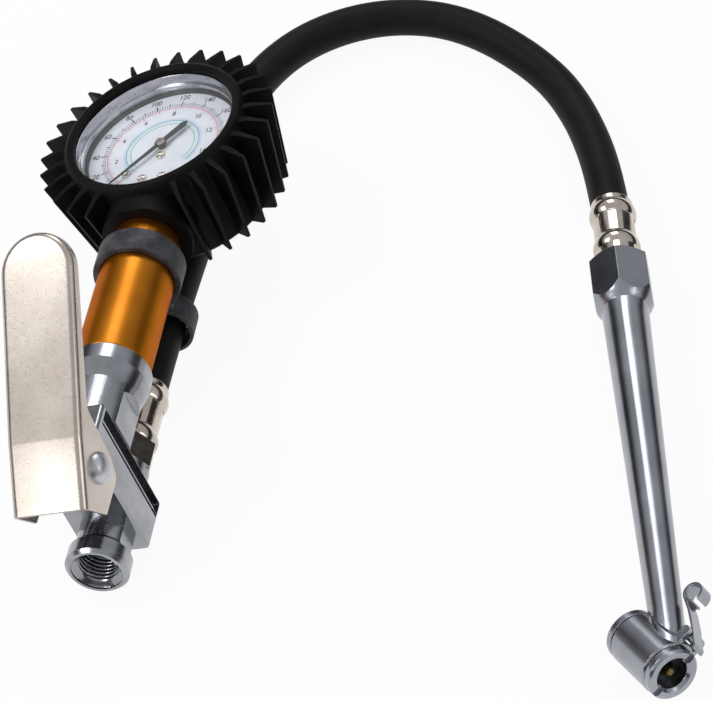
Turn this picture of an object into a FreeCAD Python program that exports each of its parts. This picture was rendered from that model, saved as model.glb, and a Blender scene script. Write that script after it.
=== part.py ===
import FreeCAD, Part
import math
import os

# Hand-held tyre inflator: valve gun with pressure gauge, rubber hose and dual-foot chuck.
# All lengths are millimetres and all angles degrees.
#
# The gun is drawn in its own frame: X across the gun (the lever pin lies along it),
# Y along the barrel from the air inlet to the gauge, Z towards the dial and the lever.
# The chuck is drawn in a second frame: origin where tube and head axes cross,
# X along the tube towards the hose, Y in the plane of tube and head, Z square to both.
# Both are then laid on the table, whose surface is z = 0.

V = FreeCAD.Vector

# How the gun lies on the table
gun_roll = 19.5            # it leans to its left about the barrel
gun_pitch = 1.5            # the gauge end lies a little lower
gun_x = -72.3
gun_y = -89.4
gun_z = 33.3              # height of the barrel axis at the inlet face

# How the chuck lies on the table
chuck_x = 106.7
chuck_y = -104.9
chuck_z = 15.4
chuck_heading = 99.9       # direction of the tube, from +X towards +Y
chuck_drop = 1.60          # the hose end lies lower than the head
chuck_roll = -35.0         # turns the head's mouth up from the table

# Air inlet
inlet_thread_r = 5.9       # wall of the quarter-inch pipe thread
inlet_thread_length = 12.0
inlet_mouth_r = 7.9
inlet_mouth_depth = 2.0
inlet_drop = 22.0          # the inlet axis lies this far behind the barrel axis
inlet_boss_r = 9.85
inlet_boss_length = 6.5
inlet_neck_r = 8.4
inlet_flats = 15.0         # across the flats of the neck
inlet_passage_r = 3.2

# Valve block and body
block_bottom = 15.0        # from the inlet face
block_height = 18.5
block_half = 10.4          # half the width
block_front = 14.5
block_back = 31.0
block_edge_r = 1.2
slot_height = 5.8
slot_depth = 3.0
slot_margin = 1.0          # from the block's top and from its ends
slot_rib = 0.6
lower_body_r = 11.9
collar_r = 13.2
collar_length = 6.2
collar_cone = 6.6          # length of the taper below the collar
flat_top = 46.0            # the block's side faces run up the body to here
body_height = 62.0         # top of the collar, from the inlet face
spigot_r = 8.0
spigot_length = 10.0
air_passage_r = 2.5
gallery_r = 1.2

# Valve chest and its pieces
chest_r = 5.0
chest_end_wall = 4.0
seat_thickness = 3.0
seat_hole_r = 2.6
stem_r = 2.0
running_gap = 0.05         # between a moving pin and its bore, all round
poppet_r = 3.7
poppet_thickness = 2.6
poppet_seal_thickness = 0.7
gland_flange_r = 6.6
gland_flange = 3.4
gland_length = 9.0
oring_wire_r = 0.9
button_r = 4.0
button_skirt = 2.4
spring_wire_r = 0.35
valve_spring_r = 2.9
valve_spring_turns = 5

# Lever
sheet = 1.2
lever_gap = 0.35           # between the ears and the lug
lever_foot_y = -5.5
lever_foot_z = 10.6
lever_bend_y = 11.0
lever_bend_z = 24.0
lever_tip_y = 62.3
lever_tip_z = 59.3
lever_flange_tip = 3.9     # depth of the side walls at the tip
lever_flange = 5.8         # and above the ears
lever_edge_r = 2.2
lever_bend_r = 10.0
ear_back_z = -1.0
ear_top_y = 19.6
ear_corner_r = 3.5
pivot_y = 11.0
pivot_z = 10.0
pivot_r = 2.0
lug_r = 5.5
rivet_head_r = 4.9
rivet_head_height = 2.8
contact_gap = 0.3          # between pieces that only touch in use

# Grip barrel
barrel_r = 12.1
barrel_length = 50.0
barrel_shoulder = 1.4
barrel_neck_r = 10.8
barrel_neck_length = 9.0
barrel_bore_r = 4.0

# Gauge
gauge_stem = 8.4           # from the barrel's neck to the wall of the case
case_r = 28.6
case_wall = 0.8
case_back = -15.4
case_front = 9.4
bezel_front = 14.4
bezel_wall = 1.2
bezel_step = 0.7
bezel_flange = 1.2
lens_thickness = 2.0
dial_z = 7.0
dial_thickness = 0.6
dial_edge_gap = 0.2        # between the dial and the case wall
surround_width = 1.0       # of the bright ring round the dial
surround_ledge = 0.3       # its inner edge stands out this far over the dial
dial_gasket_width = 0.7
socket_stem_r = 4.9
socket_hex = 15.0
socket_hex_length = 5.0
socket_bore_r = 1.2
socket_block = 12.0
socket_foot_length = 6.0
socket_shelf_length = 15.0
tube_ring_depth = 8.1      # from the case wall to the middle of the tube
tube_width = 6.4
tube_thickness = 2.2
tube_start = -62.0
tube_sweep = 252.0
plate_thickness = 0.8
pillar_offset = 3.6        # pillars stand beside the arbors
plate_low_z = -5.6
plate_high_z = 1.2
gear_module = 0.4
pinion_teeth = 10
sector_teeth = 80
sector_width = 1.0
sector_rest = -17.0        # turn of the sector's middle from the pinion at zero pressure
sector_half_angle = 24.5
sector_pivot_angle = 215.0
arbor_r = 0.7
pointer_tip_gap = 4.4      # between the needle's tip and the dial's edge
pointer_tail = 12.0
pointer_width = 2.0
pointer_thickness = 0.5
pointer_rest_angle = 228.5
dial_screw_r = 1.5
dial_screw_circle = 15.5

# Rubber boot
boot_wall = 2.6
boot_front = 17.2
boot_back = -17.4
boot_lip = 0.8             # the lip reaches this far over the bezel
fin_count = 30
fins_left_out = 3          # the smooth panel over the stem
fin_front_reach = 9.6      # from the boot's wall
fin_back_reach = 3.9
fin_front_z = 15.4
fin_base = 2.4
fin_tip = 1.1
boot_collar_r = 14.8
boot_collar_length = 7.0
boot_gap = 0.3

# Rubber strap that holds the hose beside the barrel
strap_bottom = 102.0
strap_width = 9.5
strap_wall = 2.1
strap_web = 6.5
strap_loop_wall = 1.4
strap_loop_gap = 1.6       # the loop is loose round the hose
strap_loop_x = 0.8         # its centre lies this far beside the barrel axis
strap_hose_drop = 22.3     # and this far behind it

# Hose and its crimped fittings
hose_r = 6.5
hose_bore_r = 3.3
hose_axis_drop = 22.5      # the hose port lies this far behind the barrel axis
port_boss_r = 7.6
port_boss_length = 7.5
port_thread_r = 4.0
nipple_hex = 14.6
nipple_hex_length = 9.8
nipple_bore_r = 1.6
barb_r = 3.1
barb_length = 19.0
barb_teeth = 4
gun_ferrule_length = 24.4
chuck_ferrule_length = 28.0
chuck_ferrule_band = 5.0   # plain band beside the hexagon
ferrule_bead_r = 7.9
ferrule_waist_r = 7.05
ferrule_mouth_r = 7.15
ferrule_bead = 5.2
ferrule_mouth = 2.6        # plain band at the end where the hose goes in
ferrule_jaws = 8           # flats that the crimping jaws leave
ferrule_base = 1.0         # turned-in end that the nipple holds
ferrule_gap = 0.15         # between the ferrule and the hose inside it

# Points that the free hose follows, from the gun to the chuck
hose_route = [
    (-64.0, 39.5, 6.9),
    (-60.0, 101.3, 6.75),
    (-57.7, 133.3, 6.75),
    (-42.0, 161.4, 6.75),
    (-16.4, 178.0, 6.75),
    (12.9, 178.5, 6.75),
    (43.9, 157.8, 6.75),
    (60.0, 133.1, 7.2),
]
hose_first_run = 37.0      # from inside the gun's ferrule
hose_last_run = 36.0       # into the chuck's ferrule

# Chuck
head_angle = 30.3          # between the tube and the head
head_r = 8.4
head_front = 0.0           # front face of the head, from the crossing point
head_length = 24.7
head_bore_r = 5.4
ring_r = 8.2
ring_flange = 2.8
ring_groove = 0.5          # between the head and the front ring
rear_groove = 0.1
ring_spigot = 1.4
ring_slot_width = 2.0
ring_slot_depth = 1.3
mouth_r = 4.8
seal_thickness = 2.0
seal_hole_r = 2.5
depressor_r = 1.2
depressor_disc_r = 4.6
depressor_disc = 1.1
divider_thickness = 1.2
divider_hole_r = 2.0
head_spring_r = 3.2
head_spring_wire_r = 0.25
head_spring_pitch = 1.1    # nearly, as a whole number of turns fills the space
tube_root_r = 4.75
tube_top_r = 7.65
tube_collar_r = 6.2
tube_collar = 2.0
chuck_tube_length = 146.8  # from the crossing point to the hexagon
chuck_hex = 18.6
chuck_hex_length = 21.3
chuck_hex_cone = 5.6       # length of the taper between tube and hexagon
chuck_hex_cone_low = 2.3   # its steep part, up to the middle of the flats
chuck_bore_r = 2.2
chuck_port_depth = 9.0
chuck_hex_turn = -7.4

# Locking clip on the chuck
clip_width = 5.0
clip_sheet = 0.8
clip_pin_r = 0.9
clip_lug = 1.6
clip_pivot_back = 5.2      # behind the head's front face
clip_pivot_height = 3.2    # above the head's surface
clip_curl_r = 3.3
clip_curl_x = 24.0
clip_curl_y = 10.6
clip_side_gap = 0.3


def turned(outline):
    """Solid of revolution about Y from (radius, height) points."""
    points = [V(r, h, 0) for r, h in outline]
    face = Part.Face(Part.makePolygon(points + [points[0]]))
    return face.revolve(V(0, 0, 0), V(0, 1, 0), 360)


def rod(radius, low, high):
    """Round rod about Y between two heights."""
    return Part.makeCylinder(radius, high - low, V(0, low, 0), V(0, 1, 0))


def ring(outer, inner, low, high):
    """Flat ring or sleeve about Y between two heights."""
    return rod(outer, low, high).cut(rod(inner, low - 1, high + 1))


def box(x_low, x_high, y_low, y_high, z_low, z_high):
    """Box between two corners."""
    return Part.makeBox(x_high - x_low, y_high - y_low, z_high - z_low, V(x_low, y_low, z_low))


def hexagon(flats, low, high):
    """Hexagonal prism about Y."""
    corner = flats / math.sqrt(3)
    points = []
    for i in range(6):
        turn = math.radians(60 * i)
        points.append(V(corner * math.cos(turn), low, corner * math.sin(turn)))
    face = Part.Face(Part.makePolygon(points + [points[0]]))
    return face.extrude(V(0, high - low, 0))


def facing_z(shape, x=0.0, y=0.0, z=0.0):
    """Turn a shape made about Y so that its heights run along Z, then move it."""
    shape = shape.copy()
    shape.rotate(V(0, 0, 0), V(1, 0, 0), 90)
    shape.translate(V(x, y, z))
    return shape


def facing_x(shape, x=0.0, y=0.0, z=0.0):
    """Turn a shape made about Y so that its heights run along X, then move it."""
    shape = shape.copy()
    shape.rotate(V(0, 0, 0), V(0, 0, 1), -90)
    shape.translate(V(x, y, z))
    return shape


def moved(shape, x=0.0, y=0.0, z=0.0):
    """Copy of a shape, shifted."""
    shape = shape.copy()
    shape.translate(V(x, y, z))
    return shape


def coil(radius, wire_r, length, turns):
    """Compression spring about Y from height 0, with the wire inside the length."""
    pitch = (length - 2 * wire_r) / turns
    steps = 4 * turns
    edges = []
    last = V(radius, wire_r, 0)
    for i in range(steps):
        middle_turn = math.radians(90 * (i + 0.5))
        end_turn = math.radians(90 * (i + 1))
        middle = V(radius * math.cos(middle_turn), wire_r + pitch * (i + 0.5) / 4,
                   radius * math.sin(middle_turn))
        end = V(radius * math.cos(end_turn), wire_r + pitch * (i + 1) / 4,
                radius * math.sin(end_turn))
        edges.append(Part.Arc(last, middle, end).toShape())
        last = end
    path = Part.Wire(edges)
    start = edges[0].tangentAt(edges[0].FirstParameter)
    section = Part.Wire(Part.makeCircle(wire_r, V(radius, wire_r, 0), start))
    return path.makePipeShell([section], True, False)


# Levels that several pieces share
block_top = block_bottom + block_height
chest_y = block_bottom + block_height / 2
chest_back = -block_back + chest_end_wall
barrel_top = body_height + barrel_length
neck_top = barrel_top + barrel_neck_length
gauge_y = neck_top + gauge_stem + case_r
dial_r = case_r - case_wall - dial_edge_gap
surround_r = case_r - case_wall - surround_width
tube_ring_r = case_r - tube_ring_depth
pointer_length = dial_r - pointer_tip_gap
boot_lip_r = case_r - boot_lip
boot_r = case_r + boot_gap + boot_wall
fin_front_r = boot_r + fin_front_reach
fin_back_r = boot_r + fin_back_reach
strap_top = strap_bottom + strap_width
hose_port_y = block_top + port_boss_length
ferrule_low = hose_port_y + nipple_hex_length
hex_end = chuck_tube_length + chuck_hex_length


def valve_body():
    """Die-cast body: inlet boss, cross block, pivot lug and the spigot for the barrel."""
    block = box(-block_half, block_half, block_bottom, block_top, -block_back, block_front)
    block = block.makeFillet(block_edge_r, block.Edges)
    cone_top = body_height - collar_length
    column = turned([
        (0, chest_y), (lower_body_r, chest_y), (lower_body_r, cone_top - collar_cone),
        (collar_r, cone_top), (collar_r, body_height - 0.8), (collar_r - 0.8, body_height),
        (spigot_r, body_height), (spigot_r, body_height + spigot_length),
        (0, body_height + spigot_length)])
    for side in (-1, 1):
        near = side * block_half
        far = side * (block_half + collar_r)
        back = -2 * collar_r
        flat = Part.Face(Part.makePolygon([
            V(near, 0, back), V(far, 0, back), V(far, flat_top + collar_r, back),
            V(near, flat_top, back), V(near, 0, back)]))
        column = column.cut(flat.extrude(V(0, 0, 4 * collar_r)))
    front_cut = box(-2 * block_half, 2 * block_half, 0, block_top, -2 * block_back, 2 * block_front)
    column = column.cut(front_cut)
    neck_y = inlet_boss_length + 1.2
    boss = turned([
        (0, 0), (inlet_boss_r - 1.0, 0), (inlet_boss_r, 1.0), (inlet_boss_r, inlet_boss_length - 0.6),
        (inlet_boss_r - 0.6, inlet_boss_length), (inlet_neck_r - 0.9, inlet_boss_length),
        (inlet_neck_r - 0.9, neck_y), (inlet_neck_r, neck_y),
        (inlet_neck_r, chest_y), (0, chest_y)])
    flats = box(-inlet_flats / 2, inlet_flats / 2, neck_y, chest_y, -inlet_boss_r, inlet_boss_r)
    lower = boss.common(box(-30, 30, -1, neck_y, -30, 30))
    upper = boss.common(flats)
    boss = moved(lower.fuse(upper), z=-inlet_drop)
    port_boss = moved(rod(port_boss_r, chest_y, hose_port_y), z=-hose_axis_drop)
    port_boss = port_boss.cut(front_cut)
    lug = facing_x(rod(lug_r, -block_half, block_half), y=pivot_y, z=pivot_z)
    lug_back = pivot_z - lug_r
    lug_root = box(-block_half, block_half, pivot_y, block_bottom + 2, lug_back, pivot_z + lug_r - 1.5)
    body = block.fuse([column, boss, port_boss, lug, lug_root])

    inlet_z = -inlet_drop
    mouth = moved(turned([
        (0, -1), (inlet_mouth_r, -1), (inlet_mouth_r, 0.6), (inlet_thread_r, inlet_mouth_depth),
        (inlet_thread_r, inlet_mouth_depth + inlet_thread_length),
        (0, inlet_mouth_depth + inlet_thread_length)]), z=inlet_z)
    passage = moved(rod(inlet_passage_r, 0, chest_y), z=inlet_z)
    chest = facing_z(rod(chest_r, chest_back, block_front + 1), y=chest_y)
    riser = rod(air_passage_r, chest_y, body_height + spigot_length + 1)
    port = moved(rod(port_thread_r, block_top - 2, hose_port_y + 1), z=-hose_axis_drop)
    gallery = facing_z(rod(gallery_r, -hose_axis_drop, 0), y=block_top - 2)
    pin_bore = facing_x(rod(pivot_r + running_gap, -2 * block_half, 2 * block_half), y=pivot_y, z=pivot_z)
    body = body.cut(mouth.fuse([passage, chest, riser, port, gallery, pin_bore]))

    slot_top = block_top - slot_margin
    slot_low = -block_back + slot_margin
    slot_high = block_front - slot_margin - 1
    for side in (-1, 1):
        outer = side * (block_half + 1)
        inner = side * (block_half - slot_depth)
        left = min(outer, inner)
        pocket = box(left, max(outer, inner), slot_top - slot_height, slot_top, slot_low, slot_high)
        corners = [e for e in pocket.Edges if abs(e.tangentAt(e.FirstParameter).x) > 0.9]
        pocket = pocket.makeFillet(0.8, corners)
        body = body.cut(pocket)
        edge = side * (block_half - 0.9)
        rib_y = slot_top - 0.6 * slot_height
        left = min(edge, inner)
        rib = box(left, max(edge, inner), rib_y, rib_y + slot_rib, slot_low - 0.3, slot_high + 0.3)
        body = body.fuse(rib)
    return body


seat_front = -12.0         # front of the valve seat along the chest
seat_back = seat_front - seat_thickness
poppet_front = seat_back - poppet_seal_thickness - 0.02
poppet_back = poppet_front - poppet_thickness
lever_slope = math.atan2(lever_tip_z - lever_bend_z, lever_tip_y - lever_bend_y)
web_inner_z = (lever_bend_z + (chest_y - lever_bend_y) * math.tan(lever_slope)
               - sheet / math.cos(lever_slope))
button_z = web_inner_z - (button_r + contact_gap) / math.cos(lever_slope)


def valve_seat():
    """Brass ring pressed into the chest."""
    return facing_z(ring(chest_r, seat_hole_r, seat_back, seat_front), y=chest_y)


def valve_stem():
    """Stem with the poppet at its back and the domed button that the lever pushes."""
    shape = rod(poppet_r, poppet_back, poppet_front)
    shape = shape.fuse(rod(stem_r, poppet_front, button_z))
    shape = shape.fuse(rod(button_r, button_z - button_skirt, button_z))
    shape = facing_z(shape, y=chest_y)
    dome = Part.makeSphere(button_r, V(0, chest_y, button_z))
    return shape.fuse(dome.cut(box(-9, 9, 0, 2 * chest_y, button_z - 9, button_z)))


def poppet_seal():
    """Rubber disc on the poppet, which closes on the seat."""
    seal = ring(poppet_r - 0.1, stem_r, poppet_front, poppet_front + poppet_seal_thickness)
    return facing_z(seal, y=chest_y)


def valve_spring():
    """Coil that pushes the poppet back onto its seat."""
    length = poppet_back - chest_back
    shape = coil(valve_spring_r, spring_wire_r, length, valve_spring_turns)
    return facing_z(shape, y=chest_y, z=chest_back)


def gland_nut():
    """Brass nut that guides the stem and closes the front of the chest."""
    across = 2 * gland_flange_r * math.cos(math.radians(30))
    flange = hexagon(across, block_front, block_front + gland_flange)
    shape = rod(chest_r, block_front - gland_length, block_front).fuse(flange)
    shape = shape.cut(rod(stem_r + running_gap, 0, block_front + gland_flange + 1))
    return facing_z(shape, y=chest_y)


def stem_seal():
    """Rubber ring round the stem behind the gland."""
    centre = block_front - gland_length - oring_wire_r - 0.1
    radius = stem_r + running_gap + 0.05 + oring_wire_r
    return Part.makeTorus(radius, oring_wire_r, V(0, chest_y, centre), V(0, 0, 1))


def rounded_outline(corners):
    """Closed flat wire through (point, radius) corners, each rounded by its radius."""
    edges = []
    ends = []
    for i, (point, radius) in enumerate(corners):
        before = corners[i - 1][0] - point
        after = corners[(i + 1) % len(corners)][0] - point
        if radius == 0:
            ends.append((point, point))
            continue
        half_turn = (math.pi - before.getAngle(after)) / 2
        cut = radius * math.tan(half_turn)
        before.normalize()
        after.normalize()
        inward = (before + after).normalize()
        depth = radius * (1 / math.cos(half_turn) - 1)
        ends.append((point + before * cut, point + after * cut))
        edges.append(Part.Arc(ends[i][0], point + inward * depth, ends[i][1]).toShape())
    for i in range(len(corners)):
        edges.append(Part.LineSegment(ends[i - 1][1], ends[i][0]).toShape())
    return Part.Wire(Part.__sortEdges__(edges))


def lever_prism(inset, half_width, reach):
    """Side outline of the pressed lever, drawn across its width."""
    foot_slope = math.atan2(lever_bend_z - lever_foot_z, lever_bend_y - lever_foot_y)
    foot_in = V(0, math.sin(foot_slope), -math.cos(foot_slope))
    web_in = V(0, math.sin(lever_slope), -math.cos(lever_slope))
    along = V(0, math.cos(lever_slope), math.sin(lever_slope))
    foot = V(0, lever_foot_y, lever_foot_z) + foot_in * inset
    foot = foot - V(0, math.cos(foot_slope), math.sin(foot_slope)) * reach
    bend = V(0, lever_bend_y, lever_bend_z) + web_in * inset
    tip = V(0, lever_tip_y, lever_tip_z) + web_in * inset
    flange_tip = tip + web_in * (lever_flange_tip - inset + reach)
    flange_low = V(0, lever_bend_y, lever_bend_z) + web_in * (lever_flange + reach) + along * 9
    ear_top = V(0, ear_top_y + reach, ear_back_z + 6.0)
    ear_corner = V(0, ear_top_y - 3.0 + reach, ear_back_z - reach)
    ear_low = V(0, lever_foot_y + 8.0 - reach, ear_back_z - reach)
    corner_r = ear_corner_r if inset == 0 else 0
    outline = rounded_outline([
        (foot, 0), (bend, lever_bend_r - inset), (tip, 0), (flange_tip, 0), (flange_low, corner_r),
        (ear_top, corner_r / 2), (ear_corner, corner_r), (ear_low, 0)])
    face = Part.Face(outline)
    face.translate(V(-half_width, 0, 0))
    return face.extrude(V(2 * half_width, 0, 0))


def lever_plan(half_width, length):
    """Plan of the lever with its round end, as a prism square to the upper face."""
    along = V(0, math.cos(lever_slope), math.sin(lever_slope))
    out = V(0, -math.sin(lever_slope), math.cos(lever_slope))
    bend = V(0, lever_bend_y, lever_bend_z)
    end = bend + along * (length - half_width)
    start = bend - along * 60
    side = V(half_width, 0, 0)
    edges = [
        Part.LineSegment(start - side, end - side).toShape(),
        Part.Arc(end - side, end + along * half_width, end + side).toShape(),
        Part.LineSegment(end + side, start + side).toShape(),
        Part.LineSegment(start + side, start - side).toShape()]
    face = Part.Face(Part.Wire(edges))
    face.translate(out * -60)
    return face.extrude(out * 120)


lever_half = block_half + lever_gap + sheet


def lever():
    """Pressed steel channel lever with its two ears."""
    length = math.hypot(lever_tip_y - lever_bend_y, lever_tip_z - lever_bend_z)
    outer = lever_prism(0, lever_half, 0).common(lever_plan(lever_half, length))
    out = V(0, -math.sin(lever_slope), math.cos(lever_slope))
    rim = []
    for edge in outer.Edges:
        middle = edge.valueAt((edge.FirstParameter + edge.LastParameter) / 2)
        height = (middle - V(0, lever_bend_y, lever_bend_z)).dot(out)
        across = abs(edge.tangentAt(edge.FirstParameter).x)
        on_side = abs(abs(middle.x) - lever_half) < 0.01 and across < 0.01
        at_tip = middle.y > lever_tip_y - lever_half and middle.z > lever_tip_z - 2
        if (on_side and height > -1.3 and middle.y > lever_foot_y + 1) or (at_tip and abs(height) < 0.1):
            rim.append(edge)
    outer = outer.makeFillet(lever_edge_r, rim)
    inner = lever_prism(sheet, lever_half - sheet, 20)
    inner = inner.common(lever_plan(lever_half - sheet, length - sheet))
    shape = outer.cut(inner)
    pin_hole = facing_x(rod(pivot_r, -2 * lever_half, 2 * lever_half), y=pivot_y, z=pivot_z)
    return shape.cut(pin_hole)


def lever_rivet():
    """Rivet through the ears and the lug, with a domed head on each side."""
    shape = rod(pivot_r, -lever_half, lever_half)
    sphere_r = (rivet_head_r ** 2 + rivet_head_height ** 2) / (2 * rivet_head_height)
    for side in (-1, 1):
        face = side * lever_half
        centre = V(0, face - side * (sphere_r - rivet_head_height), 0)
        keep = rod(rivet_head_r, min(face, face + side * 9), max(face, face + side * 9))
        shape = shape.fuse(Part.makeSphere(sphere_r, centre).common(keep))
    return facing_x(shape, y=pivot_y, z=pivot_z)


def grip_barrel():
    """Anodised barrel between the body and the gauge, bored for the air."""
    shape = turned([
        (0, body_height), (barrel_r - 0.4, body_height), (barrel_r, body_height + 0.4),
        (barrel_r, barrel_top - barrel_shoulder), (barrel_neck_r, barrel_top),
        (barrel_neck_r, neck_top - 0.4), (barrel_neck_r - 0.4, neck_top), (0, neck_top)])
    shape = shape.cut(rod(spigot_r, body_height, body_height + spigot_length))
    shape = shape.cut(rod(barrel_bore_r, body_height, neck_top))
    return shape.cut(rod(socket_stem_r, neck_top - 10, neck_top + 1))


def gauge_case():
    """Pressed cup that holds the gauge movement, with a hole for the socket."""
    cup = turned([
        (0, case_back), (case_r - 2, case_back), (case_r, case_back + 2), (case_r, case_front),
        (case_r - case_wall, case_front), (case_r - case_wall, case_back + 2.4),
        (case_r - 2.4, case_back + case_wall), (0, case_back + case_wall)])
    cup = facing_z(cup, y=gauge_y)
    return cup.cut(rod(socket_stem_r, gauge_y - case_r - 2, gauge_y - case_r + 4))


def gauge_bezel():
    """Stepped plated ring over the front of the case."""
    inner = case_r - bezel_wall
    step = inner - bezel_step
    shape = turned([
        (step, case_front), (case_r, case_front), (case_r, bezel_front - 0.4), (case_r - 0.4, bezel_front),
        (inner, bezel_front), (inner, case_front + bezel_flange + lens_thickness),
        (inner, case_front + bezel_flange), (step, case_front + bezel_flange)])
    return facing_z(shape, y=gauge_y)


def gauge_lens():
    """Clear window that lies on the bezel's step."""
    low = case_front + bezel_flange
    lens = rod(case_r - bezel_wall, low, low + lens_thickness)
    return facing_z(lens, y=gauge_y)


def dial_surround():
    """Bright ring that stands on the dial's edge, below the bezel."""
    outer = case_r - case_wall
    foot = surround_r + surround_ledge
    shape = turned([
        (foot, dial_z), (outer, dial_z), (outer, case_front), (surround_r, case_front),
        (surround_r, case_front - 0.5), (foot, case_front - 0.7)])
    return facing_z(shape, y=gauge_y)


def dial_gasket():
    """Thin black ring that lies round the dial's edge."""
    gasket = ring(surround_r + surround_ledge - 0.02, surround_r - dial_gasket_width, dial_z, dial_z + 0.5)
    return facing_z(gasket, y=gauge_y)


def dial_plate():
    """Printed disc with a hole for the pointer's arbor."""
    plate = rod(dial_r, dial_z - dial_thickness, dial_z)
    plate = facing_z(plate.cut(rod(arbor_r + 0.6, 0, dial_z + 1)), y=gauge_y)
    for x, y in dial_screw_places():
        plate = plate.cut(facing_z(rod(dial_screw_r / 2, 0, dial_z + 1), x, gauge_y + y))
    return plate


def dial_screw_places():
    """Centres of the dial's small screws, from the middle of the dial."""
    places = [(0.4, -4.6)]
    for turn in (-132.0, -105.5, -79.0):
        turn = math.radians(turn)
        places.append((dial_screw_circle * math.cos(turn), dial_screw_circle * math.sin(turn)))
    return places


def dial_screws():
    """Cheese-head screws with a slot, which hold the dial to the movement."""
    heads = []
    for x, y in dial_screw_places():
        head = rod(dial_screw_r, dial_z, dial_z + 0.8).fuse(rod(dial_screw_r / 2, dial_z - 2.4, dial_z))
        head = facing_z(head, x, gauge_y + y)
        slot = box(-2, 2, -0.2, 0.2, dial_z + 0.4, dial_z + 1)
        heads.append(head.cut(moved(slot, x, gauge_y + y)))
    return Part.makeCompound(heads)


block_foot_y = gauge_y - case_r + case_wall + 1.8


def gauge_socket():
    """Brass stem and block that carries the pressure to the curved tube."""
    half = socket_block / 2
    stem = rod(socket_stem_r, neck_top - barrel_neck_length, block_foot_y + 2)
    nut = hexagon(socket_hex, neck_top + 0.5, neck_top + 0.5 + socket_hex_length)
    foot = box(-half, half, block_foot_y, block_foot_y + socket_foot_length, case_back + 1.6, 3.0)
    shelf = box(-half, half, block_foot_y, block_foot_y + socket_shelf_length, case_back + 1.6, plate_low_z)
    shape = stem.fuse([nut, foot, shelf])
    return shape.cut(rod(socket_bore_r, neck_top - 10, block_foot_y + 4))


def bourdon_tube():
    """Curved flat tube that opens out with pressure, with a plug at its free end."""
    mid_z = case_back + 1.2 + 0.4 + tube_width / 2
    inner = tube_ring_r - tube_thickness / 2
    outer = tube_ring_r + tube_thickness / 2
    half = tube_width / 2
    points = [V(inner, 0, -half), V(outer, 0, -half), V(outer, 0, half), V(inner, 0, half)]
    face = Part.Face(Part.makePolygon(points + [points[0]]))
    shape = face.revolve(V(0, 0, 0), V(0, 0, 1), tube_sweep)
    shape.rotate(V(0, 0, 0), V(0, 0, 1), tube_start)
    shape.translate(V(0, gauge_y, mid_z))
    return shape


def tube_clip():
    """Solder block between the socket and the foot of the curved tube."""
    half = socket_block / 2
    turn = math.radians(tube_start)
    x_end = tube_ring_r * math.cos(turn) + 1.0
    y_mid = gauge_y + tube_ring_r * math.sin(turn)
    return box(half, x_end, block_foot_y + 3.5, y_mid, case_back + 1.6, case_back + 1.6 + tube_width)


centre_distance = gear_module * (pinion_teeth + sector_teeth) / 2
pivot_turn = math.radians(sector_pivot_angle)
sector_x = centre_distance * math.cos(pivot_turn)
sector_y = gauge_y + centre_distance * math.sin(pivot_turn)


def gear_outline(teeth, addendum, dedendum, first, count):
    """Corner points of straight-sided teeth on a pitch circle, from tooth number first."""
    pitch_r = gear_module * teeth / 2
    pitch_angle = 2 * math.pi / teeth
    points = []
    for i in range(first, first + count):
        for radius, share in ((pitch_r - dedendum, -0.27), (pitch_r + addendum, -0.11),
                              (pitch_r + addendum, 0.11), (pitch_r - dedendum, 0.27)):
            turn = pitch_angle * (i + share)
            points.append((radius * math.cos(turn), radius * math.sin(turn)))
    return points


def movement_plates():
    """Two brass plates and two pillars that carry the sector and the pinion."""
    def plate(low):
        shape = facing_z(rod(5.0, low, low + plate_thickness), sector_x, sector_y)
        shape = shape.fuse(facing_z(rod(5.0, low, low + plate_thickness), 0, gauge_y))
        width = box(-centre_distance, 0, -5, 5, low, low + plate_thickness)
        width.rotate(V(0, 0, 0), V(0, 0, 1), sector_pivot_angle - 180)
        return shape.fuse(moved(width, y=gauge_y))

    low_plate = plate(plate_low_z)
    foot = box(-5, 5, block_foot_y + 8, gauge_y, plate_low_z, plate_low_z + plate_thickness)
    high_plate = plate(plate_high_z)
    shape = low_plate.fuse([foot, high_plate])
    across = math.radians(sector_pivot_angle + 90)
    for x, y in ((0, gauge_y), (sector_x, sector_y)):
        x = x - pillar_offset * math.cos(across)
        y = y - pillar_offset * math.sin(across)
        pillar = facing_z(rod(0.9, plate_low_z, plate_high_z + plate_thickness), x, y)
        shape = shape.fuse(pillar)
    for x, y in ((0, gauge_y), (sector_x, sector_y)):
        hole = rod(arbor_r + running_gap, plate_low_z - 1, plate_high_z + 2)
        shape = shape.cut(facing_z(hole, x, y))
    return shape


sector_z = (plate_low_z + plate_thickness + plate_high_z) / 2 - sector_width / 2


def pinion_arbor():
    """Arbor with the small gear, which carries the pointer."""
    points = [V(x, y, 0) for x, y in gear_outline(pinion_teeth, 0.8 * gear_module, 1.1 * gear_module,
                                                  0, pinion_teeth)]
    face = Part.Face(Part.makePolygon(points + [points[0]]))
    gear = face.extrude(V(0, 0, sector_width + 0.8))
    gear.rotate(V(0, 0, 0), V(0, 0, 1), sector_pivot_angle + 180.0 / pinion_teeth)
    gear.translate(V(0, gauge_y, sector_z - 0.4))
    arbor = facing_z(rod(arbor_r, plate_low_z - 0.6, dial_z + 1.6), y=gauge_y)
    return arbor.fuse(gear)


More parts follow.
